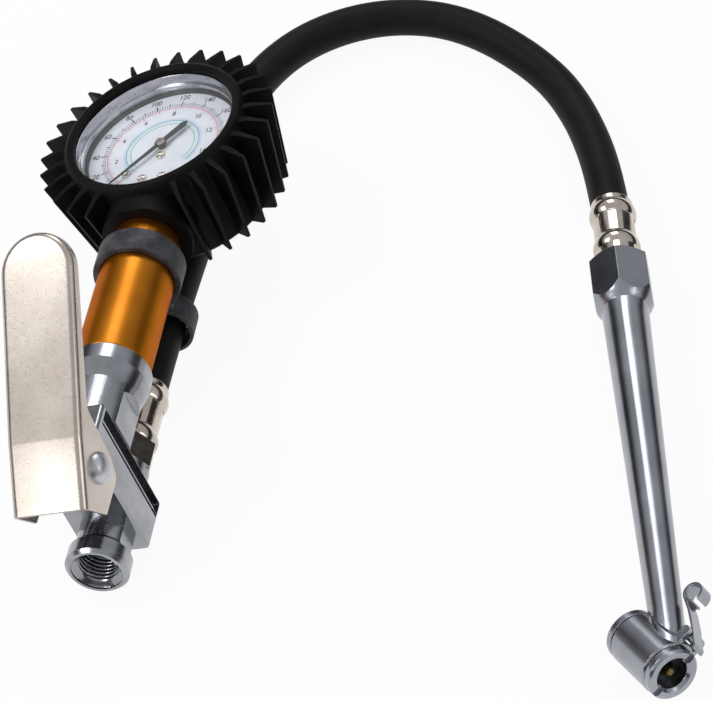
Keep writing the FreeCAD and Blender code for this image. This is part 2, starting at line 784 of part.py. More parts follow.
def sector_gear():
    """Toothed sector on its own arbor, pulled round by the link."""
    step = 360.0 / sector_teeth
    low = -round(sector_half_angle / step)
    count = 2 * round(sector_half_angle / step) + 1
    outline = gear_outline(sector_teeth, 0.8 * gear_module, 1.1 * gear_module, low, count)
    points = [V(0, 0, 0)] + [V(x, y, 0) for x, y in outline]
    face = Part.Face(Part.makePolygon(points + [points[0]]))
    gear = face.extrude(V(0, 0, sector_width))
    hub = facing_z(rod(2.2, sector_z, sector_z + sector_width))
    tail = box(-8.0, 0, -1.3, 1.3, sector_z, sector_z + sector_width)
    gear.translate(V(0, 0, sector_z))
    rest_steps = round(sector_rest / step) * step
    shape = gear.fuse([hub, tail])
    window = facing_z(ring(10.5, 5.5, sector_z - 1, sector_z + sector_width + 1))
    wedge_points = [V(0, 0, 0), V(30, -7, 0), V(30, 7, 0)]
    wedge = Part.Face(Part.makePolygon(wedge_points + [wedge_points[0]])).extrude(V(0, 0, 9))
    wedge.translate(V(0, 0, sector_z - 2))
    shape = shape.cut(window.common(wedge))
    shape = shape.fuse(facing_z(rod(arbor_r, plate_low_z - 0.6, plate_high_z + plate_thickness + 0.6)))
    shape.rotate(V(0, 0, 0), V(0, 0, 1), sector_pivot_angle - 180 + rest_steps)
    shape.translate(V(sector_x, sector_y, 0))
    return shape


pointer_z = dial_z + 1.6


def pointer():
    """Balanced needle: a thin point, a broad tail and a boss on the arbor."""
    half = pointer_width / 2
    points = [V(pointer_length, -0.15, 0), V(pointer_length, 0.15, 0),
              V(2.0, half * 0.7, 0), V(-4.0, half, 0),
              V(-pointer_tail + 1.6, half * 1.15, 0), V(-pointer_tail, 0, 0),
              V(-pointer_tail + 1.6, -half * 1.15, 0), V(-4.0, -half, 0),
              V(2.0, -half * 0.7, 0)]
    face = Part.Face(Part.makePolygon(points + [points[0]]))
    blade = face.extrude(V(0, 0, pointer_thickness))
    blade.translate(V(0, 0, pointer_z))
    boss = facing_z(rod(2.1, pointer_z, pointer_z + pointer_thickness))
    shape = blade.fuse(boss)
    shape.rotate(V(0, 0, 0), V(0, 0, 1), pointer_rest_angle)
    return moved(shape, y=gauge_y)


def pointer_cap():
    """Small brass cap pressed on the pointer's boss."""
    low = pointer_z + pointer_thickness
    cap = turned([(0, low), (1.7, low), (1.7, low + 0.5), (1.2, low + 0.9), (0, low + 0.9)])
    return facing_z(cap, y=gauge_y)


def rubber_boot():
    """Moulded rubber guard with thin fins that run front to back."""
    inner = case_r + boot_gap
    outer = boot_r
    shell = turned([
        (outer - 5, boot_back), (outer - 1.5, boot_back), (outer, boot_back + 1.5),
        (outer, boot_front - 2.2),
        (outer - 0.8, boot_front - 0.6), (outer - 1.8, boot_front), (boot_lip_r + 1.2, boot_front),
        (boot_lip_r, boot_front - 0.9), (boot_lip_r, bezel_front + boot_gap),
        (inner, bezel_front + boot_gap), (inner, case_back - boot_gap), (outer - 5, case_back - boot_gap)])
    shell = facing_z(shell, y=gauge_y)
    step = 360.0 / fin_count
    skip = (fins_left_out - 1) / 2
    root = outer - 1.0
    fins = []
    for i in range(fin_count):
        from_stem = (i + fin_count / 2) % fin_count - fin_count / 2
        if abs(from_stem) <= skip:
            continue
        low = [V(root, -fin_base / 2, boot_back + 0.6), V(fin_back_r, -fin_tip / 2, boot_back + 0.6),
               V(fin_back_r, fin_tip / 2, boot_back + 0.6), V(root, fin_base / 2, boot_back + 0.6)]
        high = [V(root, -fin_base / 2, fin_front_z), V(fin_front_r, -fin_tip / 2, fin_front_z),
                V(fin_front_r, fin_tip / 2, fin_front_z), V(root, fin_base / 2, fin_front_z)]
        wires = [Part.makePolygon(low + [low[0]]), Part.makePolygon(high + [high[0]])]
        fin = Part.makeLoft(wires, True, True)
        cutter = Part.Face(Part.makePolygon([
            V(root - 1, -5, boot_front + 1), V(fin_front_r + 2, -5, boot_front + 1),
            V(fin_front_r + 2, -5, fin_front_z - 2.4), V(root - 1, -5, fin_front_z + 1.2),
            V(root - 1, -5, boot_front + 1)])).extrude(V(0, 10, 0))
        fin = fin.cut(cutter)
        fin.rotate(V(0, 0, 0), V(0, 0, 1), -90 + step * i)
        fins.append(moved(fin, y=gauge_y))
    collar_low = gauge_y - outer - boot_collar_length
    collar = rod(boot_collar_r, collar_low, gauge_y - outer + 4)
    well = facing_z(rod(inner, boot_back - 5, boot_front + 5), y=gauge_y)
    collar = collar.cut(well).common(box(-40, 40, 0, gauge_y, boot_back, boot_front - 3))
    bore = rod(barrel_neck_r + boot_gap, 0, neck_top + 0.3)
    chamber = rod(socket_hex / math.sqrt(3) + boot_gap, neck_top, gauge_y - case_r + 3)
    shape = shell.fuse(fins).fuse(collar)
    return shape.cut(bore).cut(chamber)


def hose_strap():
    """Rubber figure-of-eight band round the barrel and the hose."""
    barrel_loop = rod(barrel_r + strap_wall, strap_bottom, strap_top)
    loop_r = hose_r + strap_loop_gap
    loop = rod(loop_r + strap_loop_wall, strap_bottom - 1.5, strap_top - 1.5)
    hose_loop = moved(loop, strap_loop_x, 0, -strap_hose_drop)
    web = box(-strap_web, strap_web, strap_bottom, strap_top - 1.5, -strap_hose_drop, -barrel_r + 2)
    shape = barrel_loop.fuse([hose_loop, web])
    shape = shape.cut(rod(barrel_r + 0.02, strap_bottom - 1, strap_top + 1))
    shape = shape.cut(moved(rod(loop_r, strap_bottom - 3, strap_top + 3), strap_loop_x, 0, -strap_hose_drop))
    return shape


def hose_nipple(low, thread_length, hex_length):
    """Threaded end, hexagon and barbed tail, with the thread below height low."""
    start = low - thread_length
    top = low + hex_length
    shape = rod(port_thread_r, start, top)
    if hex_length > 0:
        shape = shape.fuse(hexagon(nipple_hex, low, top))
    outline = [(0, top), (barb_r - 0.5, top)]
    tooth = barb_length / barb_teeth
    for i in range(barb_teeth):
        outline.append((barb_r, top + tooth * i + 0.8))
        outline.append((barb_r - 0.5, top + tooth * (i + 1)))
    outline.append((0, top + barb_length))
    shape = shape.fuse(turned(outline))
    return shape.cut(rod(nipple_bore_r, start - 1, top + barb_length + 1))


def crimp_ferrule(low, length, band):
    """Plated sleeve: a plain band, two round beads with a crimped waist between them, and a mouth."""
    high = low + length
    inner = hose_r + ferrule_gap
    bead_low = high - ferrule_mouth - ferrule_bead
    mouth_low = high - ferrule_mouth
    first_low = low + band
    waist_low = first_low + ferrule_bead
    bulge = ferrule_bead_r
    waist = ferrule_waist_r
    edges = []

    def line(a, b):
        edges.append(Part.LineSegment(V(a[0], a[1], 0), V(b[0], b[1], 0)).toShape())

    def bead(a, top, b):
        edges.append(Part.Arc(V(a[0], a[1], 0), V(top[0], top[1], 0), V(b[0], b[1], 0)).toShape())

    line((inner, low), (waist + 0.1, low))
    if band > 0:
        line((waist + 0.1, low), (waist + 0.1, first_low))
    bead((waist + 0.1, first_low), (bulge, first_low + ferrule_bead / 2), (waist, waist_low))
    line((waist, waist_low), (waist, bead_low))
    bead((waist, bead_low), (bulge, bead_low + ferrule_bead / 2), (ferrule_mouth_r + 0.1, mouth_low))
    line((ferrule_mouth_r + 0.1, mouth_low), (ferrule_mouth_r, high - 0.4))
    line((ferrule_mouth_r, high - 0.4), (inner + 0.15, high))
    line((inner + 0.15, high), (inner, high))
    line((inner, high), (inner, low))
    sleeve = Part.Face(Part.Wire(edges)).revolve(V(0, 0, 0), V(0, 1, 0), 360)
    flats = 2 * (waist - 0.22)
    corner = flats / 2 / math.cos(math.pi / ferrule_jaws)
    points = []
    for i in range(ferrule_jaws):
        turn = 2 * math.pi * i / ferrule_jaws
        points.append(V(corner * math.cos(turn), waist_low + 0.5, corner * math.sin(turn)))
    prism = Part.Face(Part.makePolygon(points + [points[0]])).extrude(V(0, bead_low - waist_low - 1.0, 0))
    room = ring(waist + 1, inner, waist_low + 0.5, bead_low - 0.5)
    sleeve = sleeve.cut(room.cut(prism))
    base = ring(inner + 0.1, barb_r + 0.1, low, low + ferrule_base)
    return sleeve.fuse(base)


# Chuck pieces, whose turned parts are made about Y and then aimed


def along_head(shape):
    """Aim heights along the head's axis, with positive heights out of the front mouth."""
    shape = shape.copy()
    shape.rotate(V(0, 0, 0), V(0, 0, 1), 90 - head_angle)
    return shape


def chuck_body():
    """Cast head, tapered tube and hexagon in one chromed piece."""
    head_back = head_front - head_length
    front = head_front - ring_flange - ring_groove
    back = head_back + ring_flange + rear_groove
    head = along_head(turned([
        (0, back), (head_r - 0.7, back), (head_r, back + 0.7), (head_r, front - 0.5), (head_r - 0.5, front),
        (0, front)]))
    start = head_r / math.sin(math.radians(head_angle)) * 0.6
    slope = (tube_top_r - tube_root_r) / chuck_tube_length
    tube = facing_x(turned([
        (0, start), (tube_root_r + slope * start, start), (tube_top_r, chuck_tube_length),
        (0, chuck_tube_length)]))
    collar_x = head_r / math.sin(math.radians(head_angle)) + 1.0
    collar = facing_x(rod(tube_collar_r, collar_x - 12, collar_x + tube_collar))
    collar = collar.common(along_head(rod(head_r + 1.1, back + 0.5, front)))
    hex_low = chuck_tube_length
    hex_high = hex_low + chuck_hex_length
    prism = hexagon(chuck_hex, hex_low, hex_high)
    corner = chuck_hex / math.sqrt(3)
    envelope = turned([
        (0, hex_low), (tube_top_r, hex_low), (chuck_hex / 2, hex_low + chuck_hex_cone_low),
        (corner + 0.01, hex_low + chuck_hex_cone),
        (corner + 0.01, hex_high - 1.2), (corner - 1.6, hex_high), (0, hex_high)])
    prism = prism.common(envelope)
    prism.rotate(V(0, 0, 0), V(0, 1, 0), chuck_hex_turn)
    shape = head.fuse([tube, collar, facing_x(prism)])
    cavity = along_head(rod(head_bore_r, back - 1, front + 1))
    bore_start = head_bore_r / math.sin(math.radians(head_angle)) - 2
    passage = facing_x(rod(chuck_bore_r, bore_start, hex_high - chuck_port_depth))
    port = facing_x(rod(port_thread_r, hex_high - chuck_port_depth, hex_high + 1))
    nut_room = along_head(rod(ring_r + 0.3, head_back - 1, back))
    shape = shape.cut(cavity.fuse([passage, port, nut_room]))
    return shape.fuse(clip_lugs())


def ring_nut(mirror):
    """Ring nut with two slots for a spanner and a mouth for the tyre valve."""
    high = head_front
    low = high - ring_flange
    inner_end = low - ring_groove - ring_spigot
    shape = turned([
        (mouth_r, high - 0.9), (mouth_r + 0.9, high), (ring_r - 0.7, high), (ring_r, high - 0.7),
        (ring_r, low), (head_bore_r, low), (head_bore_r, inner_end), (mouth_r, inner_end)])
    half_slot = ring_slot_width / 2
    slot = box(-ring_r - 1, ring_r + 1, high - ring_slot_depth, high + 1, -half_slot, half_slot)
    shape = shape.cut(slot)
    if mirror:
        shape = flipped(shape)
    return along_head(shape)


def flipped(shape):
    """Turn a piece end for end about the middle of the head."""
    middle = head_front - head_length / 2
    shape = shape.copy()
    shape.rotate(V(0, middle, 0), V(1, 0, 0), 180)
    return shape


seal_front = head_front - ring_flange - ring_groove - ring_spigot


def mouth_seal(mirror):
    """Rubber washer that seals on the end of the tyre valve."""
    shape = ring(head_bore_r - 0.1, seal_hole_r, seal_front - seal_thickness, seal_front)
    if mirror:
        shape = flipped(shape)
    return along_head(shape)


def depressor(mirror):
    """Pin on a disc, which opens the tyre's own valve and slides when pushed."""
    disc_front = seal_front - seal_thickness - 0.1
    pin_front = head_front - 1.6
    shape = rod(depressor_disc_r, disc_front - depressor_disc, disc_front)
    shape = shape.fuse(rod(depressor_r, disc_front, pin_front - 0.4))
    shape = shape.fuse(turned([
        (0, pin_front - 0.4), (depressor_r, pin_front - 0.4),
        (depressor_r - 0.4, pin_front), (0, pin_front)]))
    for x, z in ((3.6, 0), (-3.6, 0), (0, 3.6), (0, -3.6)):
        hole = rod(0.8, disc_front - depressor_disc - 1, disc_front + 1)
        shape = shape.cut(moved(hole, x, 0, z))
    if mirror:
        shape = flipped(shape)
    return along_head(shape)


def spring_divider():
    """Disc pressed into the middle of the head, which both springs stand on."""
    middle = head_front - head_length / 2
    shape = ring(head_bore_r, divider_hole_r, middle - divider_thickness / 2, middle + divider_thickness / 2)
    return along_head(shape)


def head_spring(mirror):
    """Coil between the divider and a depressor's disc."""
    disc_back = seal_front - seal_thickness - 0.1 - depressor_disc
    low = head_front - head_length / 2 + divider_thickness / 2
    length = disc_back - low
    turns = round((length - 2 * head_spring_wire_r) / head_spring_pitch)
    shape = coil(head_spring_r, head_spring_wire_r, length, turns)
    shape.translate(V(0, low, 0))
    if mirror:
        shape = flipped(shape)
    return along_head(shape)


# Clip: its pivot lies on the side of the head that the tube leaves from
head_turn = math.radians(head_angle)
head_out = V(math.sin(head_turn), math.cos(head_turn), 0)
head_back_way = V(math.cos(head_turn), -math.sin(head_turn), 0)
clip_pivot = (head_out * (head_r + clip_pivot_height)
              + head_back_way * (clip_pivot_back - head_front))


def clip_lugs():
    """Two small ears cast on the head for the clip's pin."""
    lugs = []
    low = clip_width / 2 + clip_side_gap
    for side in (-1, 1):
        ear_low = min(side * low, side * (low + clip_lug))
        ear = Part.makeCylinder(clip_lug, clip_lug, clip_pivot + V(0, 0, ear_low), V(0, 0, 1))
        root_high = clip_pivot + head_back_way * clip_lug
        root_low = clip_pivot - head_back_way * clip_lug
        sink = head_out * (clip_pivot_height + 1.2)
        z = V(0, 0, min(side * low, side * (low + clip_lug)))
        points = [root_high + z, root_low + z, root_low - sink + z, root_high - sink + z]
        root = Part.Face(Part.makePolygon(points + [points[0]])).extrude(V(0, 0, clip_lug))
        bore = Part.makeCylinder(clip_pin_r, 20, clip_pivot + V(0, 0, -10), V(0, 0, 1))
        lugs.append(ear.fuse(root).cut(bore))
    return lugs


def strip(points, thickness, width):
    """Bent strip of sheet whose middle line follows the points in the XY plane."""
    upper = []
    lower = []
    for i, point in enumerate(points):
        before = point - points[max(i - 1, 0)]
        after = points[min(i + 1, len(points) - 1)] - point
        way = V(0, 0, 0)
        for part in (before, after):
            if part.Length > 0:
                way = way + part.normalize()
        way.normalize()
        side = V(-way.y, way.x, 0) * (thickness / 2)
        upper.append(point + side)
        lower.append(point - side)
    outline = upper + lower[::-1]
    face = Part.Face(Part.makePolygon(outline + [outline[0]]))
    face.translate(V(0, 0, -width / 2))
    return face.extrude(V(0, 0, width))


def clip_lever():
    """Sheet lever with a rolled thumb end, and a nose over the front ring."""
    curl = V(clip_curl_x, clip_curl_y, 0)
    hub_r = clip_pin_r + clip_sheet
    hub = Part.makeCylinder(hub_r, clip_width, clip_pivot - V(0, 0, clip_width / 2), V(0, 0, 1))
    nose = clip_pivot - head_back_way * (clip_pivot_back - 0.4) - head_out * 1.2
    tip = nose - head_out * 1.2 - head_back_way * 0.3
    start = clip_pivot + V(0, hub_r - clip_sheet / 2, 0)
    foot = curl + V(-1.4, -clip_curl_r + clip_sheet / 2, 0)
    arm = strip([start + V(-0.6, 0, 0), start + V(2.4, 0.2, 0), foot + V(-4.0, 0.9, 0), foot + V(1.4, 0, 0)],
                clip_sheet, clip_width)
    front = strip([start + V(0.4, 0, 0), nose, tip], clip_sheet, clip_width)
    roll = Part.makeCylinder(clip_curl_r, clip_width, curl - V(0, 0, clip_width / 2), V(0, 0, 1))
    inside_r = clip_curl_r - clip_sheet
    inside = Part.makeCylinder(inside_r, 2 * clip_width, curl - V(0, 0, clip_width), V(0, 0, 1))
    roll = roll.cut(inside)
    gap = Part.makeBox(clip_curl_r + 1, 1.6, 2 * clip_width, curl + V(-clip_curl_r - 1, -0.6, -clip_width))
    roll = roll.cut(gap)
    shape = hub.fuse([arm, front, roll])
    bore = Part.makeCylinder(clip_pin_r + running_gap, 20, clip_pivot + V(0, 0, -10), V(0, 0, 1))
    return shape.cut(bore)


def clip_pin():
    """Pin through the ears and the clip."""
    half = clip_width / 2 + clip_side_gap + clip_lug
    return Part.makeCylinder(clip_pin_r, 2 * half, clip_pivot - V(0, 0, half), V(0, 0, 1))


def gun_frame():
    """Placement of the gun on the table."""
    turn = FreeCAD.Rotation(V(1, 0, 0), -gun_pitch).multiply(FreeCAD.Rotation(V(0, 1, 0), -gun_roll))
    return FreeCAD.Placement(V(gun_x, gun_y, gun_z), turn)


def chuck_frame():
    """Placement of the chuck on the table."""
    turn = FreeCAD.Rotation(V(0, 0, 1), chuck_heading)
    turn = turn.multiply(FreeCAD.Rotation(V(0, 1, 0), chuck_drop))
    turn = turn.multiply(FreeCAD.Rotation(V(1, 0, 0), 180 + chuck_roll))
    return FreeCAD.Placement(V(chuck_x, chuck_y, chuck_z), turn)


def laid(shape, frame):
    """Copy of a shape, moved from its own frame onto the table."""
    shape = shape.copy()
    shape.Placement = frame.multiply(shape.Placement)
    return shape


def rounded_path(points):
    """Straight runs joined by tangent arcs, as large as the runs allow."""
    edges = []
    radii = []
    last = points[0]
    for i in range(1, len(points) - 1):
        before = points[i] - points[i - 1]
        after = points[i + 1] - points[i]
        cut = 0.45 * min(before.Length, after.Length)
        turn = before.getAngle(after)
        radii.append(cut / math.tan(turn / 2))
        arc_start = points[i] - before.normalize() * cut
        arc_end = points[i] + after.normalize() * cut
        inward = (after - before).normalize()
        depth = radii[-1] * (1 / math.cos(turn / 2) - 1)
        edges.append(Part.LineSegment(last, arc_start).toShape())
        edges.append(Part.Arc(arc_start, points[i] + inward * depth, arc_end).toShape())
        last = arc_end
    edges.append(Part.LineSegment(last, points[-1]).toShape())
    return Part.Wire(edges), radii


def hose():
    """Rubber hose from the gun's ferrule to the chuck's."""
    gun = gun_frame()
    chuck = chuck_frame()
    start_y = ferrule_low + ferrule_base + ferrule_gap
    start = gun.multVec(V(0, start_y, -hose_axis_drop))
    after_start = gun.multVec(V(0, start_y + hose_first_run, -hose_axis_drop))
    end_x = hex_end + ferrule_base + ferrule_gap
    end = chuck.multVec(V(end_x, 0, 0))
    before_end = chuck.multVec(V(end_x + hose_last_run, 0, 0))
    points = [start, after_start] + [V(*p) for p in hose_route] + [before_end, end]
    path, radii = rounded_path(points)
    way = (points[1] - points[0]).normalize()
    outer = path.makePipeShell([Part.Wire(Part.makeCircle(hose_r, start, way))], True, False)
    bore = path.makePipeShell([Part.Wire(Part.makeCircle(hose_bore_r, start, way))], True, False)
    shape = outer.cut(bore)
    wall_area = math.pi * (hose_r ** 2 - hose_bore_r ** 2)
    ratio = shape.Volume / (wall_area * path.Length)
    print("hose points", [tuple(round(c, 1) for c in p) for p in points])
    print("hose length", round(path.Length, 1), "volume ratio", round(ratio, 4))
    print("hose radii", [round(r, 1) for r in radii])
    print("hose lowest", round(shape.BoundBox.ZMin, 2))
    return shape


def main():
    os.makedirs("parts", exist_ok=True)
    gun = gun_frame()
    chuck = chuck_frame()
    gun_nipple = hose_nipple(hose_port_y, port_boss_length + 1.8, nipple_hex_length)
    gun_pieces = {
        "valve_body": valve_body(),
        "valve_seat": valve_seat(),
        "valve_stem": valve_stem(),
        "poppet_seal": poppet_seal(),
        "valve_spring": valve_spring(),
        "gland_nut": gland_nut(),
        "stem_seal": stem_seal(),
        "lever": lever(),
        "lever_rivet": lever_rivet(),
        "grip_barrel": grip_barrel(),
        "gauge_case": gauge_case(),
        "gauge_bezel": gauge_bezel(),
        "gauge_lens": gauge_lens(),
        "dial_surround": dial_surround(),
        "dial_gasket": dial_gasket(),
        "dial_plate": dial_plate(),
        "dial_screws": dial_screws(),
        "gauge_socket": gauge_socket(),
        "bourdon_tube": bourdon_tube().fuse(tube_clip()),
        "movement_plates": movement_plates(),
        "pinion_arbor": pinion_arbor(),
        "sector_gear": sector_gear(),
        "pointer": pointer(),
        "pointer_cap": pointer_cap(),
        "rubber_boot": rubber_boot(),
        "hose_strap": hose_strap(),
        "gun_nipple": moved(gun_nipple, z=-hose_axis_drop),
        "gun_ferrule": moved(crimp_ferrule(ferrule_low, gun_ferrule_length, 0), z=-hose_axis_drop),
    }
    chuck_pieces = {
        "chuck_body": chuck_body(),
        "front_ring_nut": ring_nut(False),
        "rear_ring_nut": ring_nut(True),
        "front_seal": mouth_seal(False),
        "rear_seal": mouth_seal(True),
        "front_depressor": depressor(False),
        "rear_depressor": depressor(True),
        "spring_divider": spring_divider(),
        "front_spring": head_spring(False),
        "rear_spring": head_spring(True),
        "clip_lever": clip_lever(),
        "clip_pin": clip_pin(),
        "chuck_nipple": facing_x(hose_nipple(hex_end, chuck_port_depth - 0.3, 0)),
        "chuck_ferrule": facing_x(crimp_ferrule(hex_end, chuck_ferrule_length, chuck_ferrule_band)),
    }
    pieces = {name: laid(shape, gun) for name, shape in gun_pieces.items()}
    pieces.update({name: laid(shape, chuck) for name, shape in chuck_pieces.items()})
    pieces["hose"] = hose()
    for name, shape in pieces.items():
        if not shape.isValid():
            print("not valid:", name)
        shape.exportStep("parts/" + name + ".step")
    whole = Part.makeCompound([s for n, s in pieces.items() if n != "hose"])
    b = whole.BoundBox
    print("box", [round(v, 2) for v in (b.XMin, b.XMax, b.YMin, b.YMax, b.ZMin, b.ZMax)])
    for name, shape in pieces.items():
        b = shape.BoundBox
        print(name, len(shape.Solids), round(shape.Volume, 1), "z", round(b.ZMin, 2), round(b.ZMax, 2))


main()
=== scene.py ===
import math

import bmesh
import bpy
from mathutils import Matrix, Vector


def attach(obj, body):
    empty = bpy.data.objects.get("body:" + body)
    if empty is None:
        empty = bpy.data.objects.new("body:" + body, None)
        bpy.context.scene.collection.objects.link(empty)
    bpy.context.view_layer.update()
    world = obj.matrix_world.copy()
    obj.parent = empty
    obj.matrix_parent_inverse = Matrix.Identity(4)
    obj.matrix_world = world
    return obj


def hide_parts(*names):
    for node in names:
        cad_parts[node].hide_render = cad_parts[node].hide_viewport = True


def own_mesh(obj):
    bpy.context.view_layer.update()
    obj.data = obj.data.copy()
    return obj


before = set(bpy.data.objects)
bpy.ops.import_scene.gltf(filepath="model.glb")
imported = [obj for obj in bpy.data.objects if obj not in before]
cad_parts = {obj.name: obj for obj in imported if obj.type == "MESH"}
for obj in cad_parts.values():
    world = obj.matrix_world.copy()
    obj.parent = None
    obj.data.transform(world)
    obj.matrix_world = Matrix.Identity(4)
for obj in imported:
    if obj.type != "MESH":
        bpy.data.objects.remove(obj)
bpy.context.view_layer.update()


# Camera. A long lens looks down at the inflator on its table, from the inlet's end and a little to
# the right, as in the photograph.
def placed(name, data):
    """Puts a new object with this data in the scene."""
    thing = bpy.data.objects.new(name, data)
    bpy.context.scene.collection.objects.link(thing)
    return thing


camera_turn = math.radians(8.3)
camera_rise = math.radians(47.5)
camera_distance = 0.906
camera_target = Vector((-0.0033, 0.0206, 0.0))
camera_data = bpy.data.cameras.new("camera")
camera_data.sensor_width = 36
camera_data.lens = 141.37
camera_data.clip_start = 0.01
camera = placed("camera", camera_data)
camera.location = camera_target + camera_distance * Vector((
    math.sin(camera_turn) * math.cos(camera_rise),
    -math.cos(camera_turn) * math.cos(camera_rise),
    math.sin(camera_rise)))
camera.rotation_euler = (math.pi / 2 - camera_rise, 0, camera_turn)
bpy.context.scene.camera = camera
bpy.context.scene.view_settings.view_transform = "Standard"


# Hose. A short length of black rubber air hose, extruded over a braid and matt from its curing
# wrap. Both ends are pushed on barbed tails and held by the crimped sleeves.
def linear(code):
    """Turns a hex colour into linear red, green, blue and alpha."""
    parts = [int(code[i:i + 2], 16) / 255 for i in (1, 3, 5)]
    levels = [p / 12.92 if p <= 0.04045 else ((p + 0.055) / 1.055) ** 2.4 for p in parts]
    return (*levels, 1.0)


def add(tree, kind, settings=None, inputs=None):
    """Adds a node with its settings, and its inputs as values or as sockets to link from."""
    node = tree.nodes.new(kind)
    for name, value in (settings or {}).items():
        setattr(node, name, value)
    for name, value in (inputs or {}).items():
        if isinstance(value, bpy.types.NodeSocket):
            tree.links.new(value, node.inputs[name])
        else:
            node.inputs[name].default_value = value
    return node


def new_finish(name, values):
    """Starts a material, and gives its tree, its shader and the object's coordinates."""
    material = bpy.data.materials.new(name)
    material.use_nodes = True
    tree = material.node_tree
    tree.nodes.clear()
    shader = add(tree, "ShaderNodeBsdfPrincipled", inputs=values)
    add(tree, "ShaderNodeOutputMaterial", inputs={"Surface": shader.outputs["BSDF"]})
    place = add(tree, "ShaderNodeTexCoord").outputs["Object"]
    return material, tree, shader, place


tone_stops = (0.35, 0.65)


def two_tone(tree, shader, pattern, dark, light):
    """Spreads a pattern between two close colours of the same finish."""
    ramp = add(tree, "ShaderNodeValToRGB", inputs={"Fac": pattern})
    for stop, position, code in zip(ramp.color_ramp.elements, tone_stops, (dark, light)):
        stop.position = position
        stop.color = linear(code)
    tree.links.new(ramp.outputs["Color"], shader.inputs["Base Color"])


def rough_between(tree, shader, pattern, low, high):
    """Lets a pattern move the roughness between two values."""
    spread = add(tree, "ShaderNodeMapRange", inputs={
        "Value": pattern, "To Min": low, "To Max": high})
    tree.links.new(spread.outputs["Result"], shader.inputs["Roughness"])


def raise_by(tree, shader, pattern, depth, strength):
    """Turns a pattern into relief of a real depth in metres."""
    bump = add(tree, "ShaderNodeBump", inputs={
        "Height": pattern, "Distance": depth, "Strength": strength})
    tree.links.new(bump.outputs["Normal"], shader.inputs["Normal"])


# Cured rubber: soot black and matt, with faint dusty patches of 14 mm and a grain of 0.8 mm.
hose_rubber, tree, shader, place = new_finish(
    "hose_rubber_wrapped_cure", {"Specular IOR Level": 0.14})
dust = add(tree, "ShaderNodeTexNoise", inputs={"Vector": place, "Scale": 70.0, "Detail": 3.0})
grain = add(tree, "ShaderNodeTexNoise", inputs={"Vector": place, "Scale": 1300.0, "Detail": 2.0})
two_tone(tree, shader, dust.outputs["Fac"], "#0f0e10", "#171618")
rough_between(tree, shader, dust.outputs["Fac"], 0.50, 0.64)
raise_by(tree, shader, grain.outputs["Fac"], 0.00008, 0.6)

hose_radius = 0.0065
hose_route = [
    (-0.0648, -0.0380, 0.0107),
    (-0.0648, -0.0010, 0.0098),
    (-0.0640, 0.0395, 0.0069),
    (-0.0600, 0.1013, 0.00675),
    (-0.0577, 0.1333, 0.00675),
    (-0.0420, 0.1614, 0.00675),
    (-0.0164, 0.1780, 0.00675),
    (0.0129, 0.1785, 0.00675),
    (0.0439, 0.1578, 0.00675),
    (0.0600, 0.1331, 0.0072),
    (0.0714, 0.0972, 0.0097),
    (0.0776, 0.0618, 0.0107),
]
hose_line = bpy.data.curves.new("air_hose", "CURVE")
hose_line.dimensions = "3D"
hose_spline = hose_line.splines.new("NURBS")
hose_spline.points.add(len(hose_route) - 1)
for point, where in zip(hose_spline.points, hose_route):
    point.co = (*where, 1.0)
hose_spline.order_u = 3
hose_spline.use_endpoint_u = True
hose_spline.resolution_u = 16
hose_line.bevel_depth = hose_radius
hose_line.bevel_resolution = 10
hose_line.use_fill_caps = True
hose_line.materials.append(hose_rubber)
air_hose = placed("air_hose", hose_line)
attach(air_hose, "inflator")
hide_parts("hose")


# Valve body. One zinc die casting with the inlet boss, the cross block, the lever's lug and the
# round column that the grip screws on, blasted and then plated with satin chrome.
def kept_mesh(piece):
    """Turns what a piece's modifiers make into its plain mesh."""
    bpy.context.view_layer.update()
    ready = piece.evaluated_get(bpy.context.evaluated_depsgraph_get())
    mesh = bpy.data.meshes.new_from_object(ready)
    piece.modifiers.clear()
    piece.data = mesh
    mesh.name = piece.name


def dressed(piece, body, slot, *nodes):
    """Puts a finished piece on its body, in place of the plain solids that it stands for."""
    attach(piece, body)
    if nodes:
        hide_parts(*nodes)


weld_distance = 0.000002
flat_within = math.radians(0.2)


def rounded(node, width, material, segments=2, corner=28.0, clamp=False):
    """Copies a solid, its edges rounded by a width in metres, or left as they are at 0."""
    work = bmesh.new()
    work.from_mesh(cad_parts[node].data)
    bmesh.ops.remove_doubles(work, verts=work.verts, dist=weld_distance)
    bmesh.ops.dissolve_limit(work, angle_limit=flat_within, verts=work.verts, edges=work.edges)
    mesh = bpy.data.meshes.new(node + "_rounded")
    work.to_mesh(mesh)
    work.free()
    mesh.materials.append(material)
    mesh.shade_smooth()
    mesh.set_sharp_from_angle(angle=math.radians(corner))
    piece = placed(node + "_rounded", mesh)
    if not width:
        return piece
    bevel = piece.modifiers.new("edges", "BEVEL")
    bevel.width = width
    bevel.segments = segments
    bevel.limit_method = "ANGLE"
    bevel.angle_limit = math.radians(corner)
    bevel.use_clamp_overlap = clamp
    bevel.harden_normals = True
    kept_mesh(piece)
    return piece


# Satin chrome on a blasted casting: cool light grey, with patches of 11 mm where it is smoother and
# a soft 0.5 mm grain.
satin_chrome, tree, shader, place = new_finish("satin_chrome_on_casting", {"Metallic": 1.0})
patches = add(tree, "ShaderNodeTexNoise", inputs={"Vector": place, "Scale": 90.0, "Detail": 4.0})
grain = add(tree, "ShaderNodeTexNoise", inputs={"Vector": place, "Scale": 1900.0, "Detail": 2.0})
two_tone(tree, shader, patches.outputs["Fac"], "#8f9196", "#a6a8ad")
rough_between(tree, shader, patches.outputs["Fac"], 0.16, 0.28)
raise_by(tree, shader, grain.outputs["Fac"], 0.00003, 0.5)

valve_casting = rounded("valve_body", 0.0003, satin_chrome, corner=14.0, clamp=True)
dressed(valve_casting, "inflator", "satin_chrome", "valve_body")


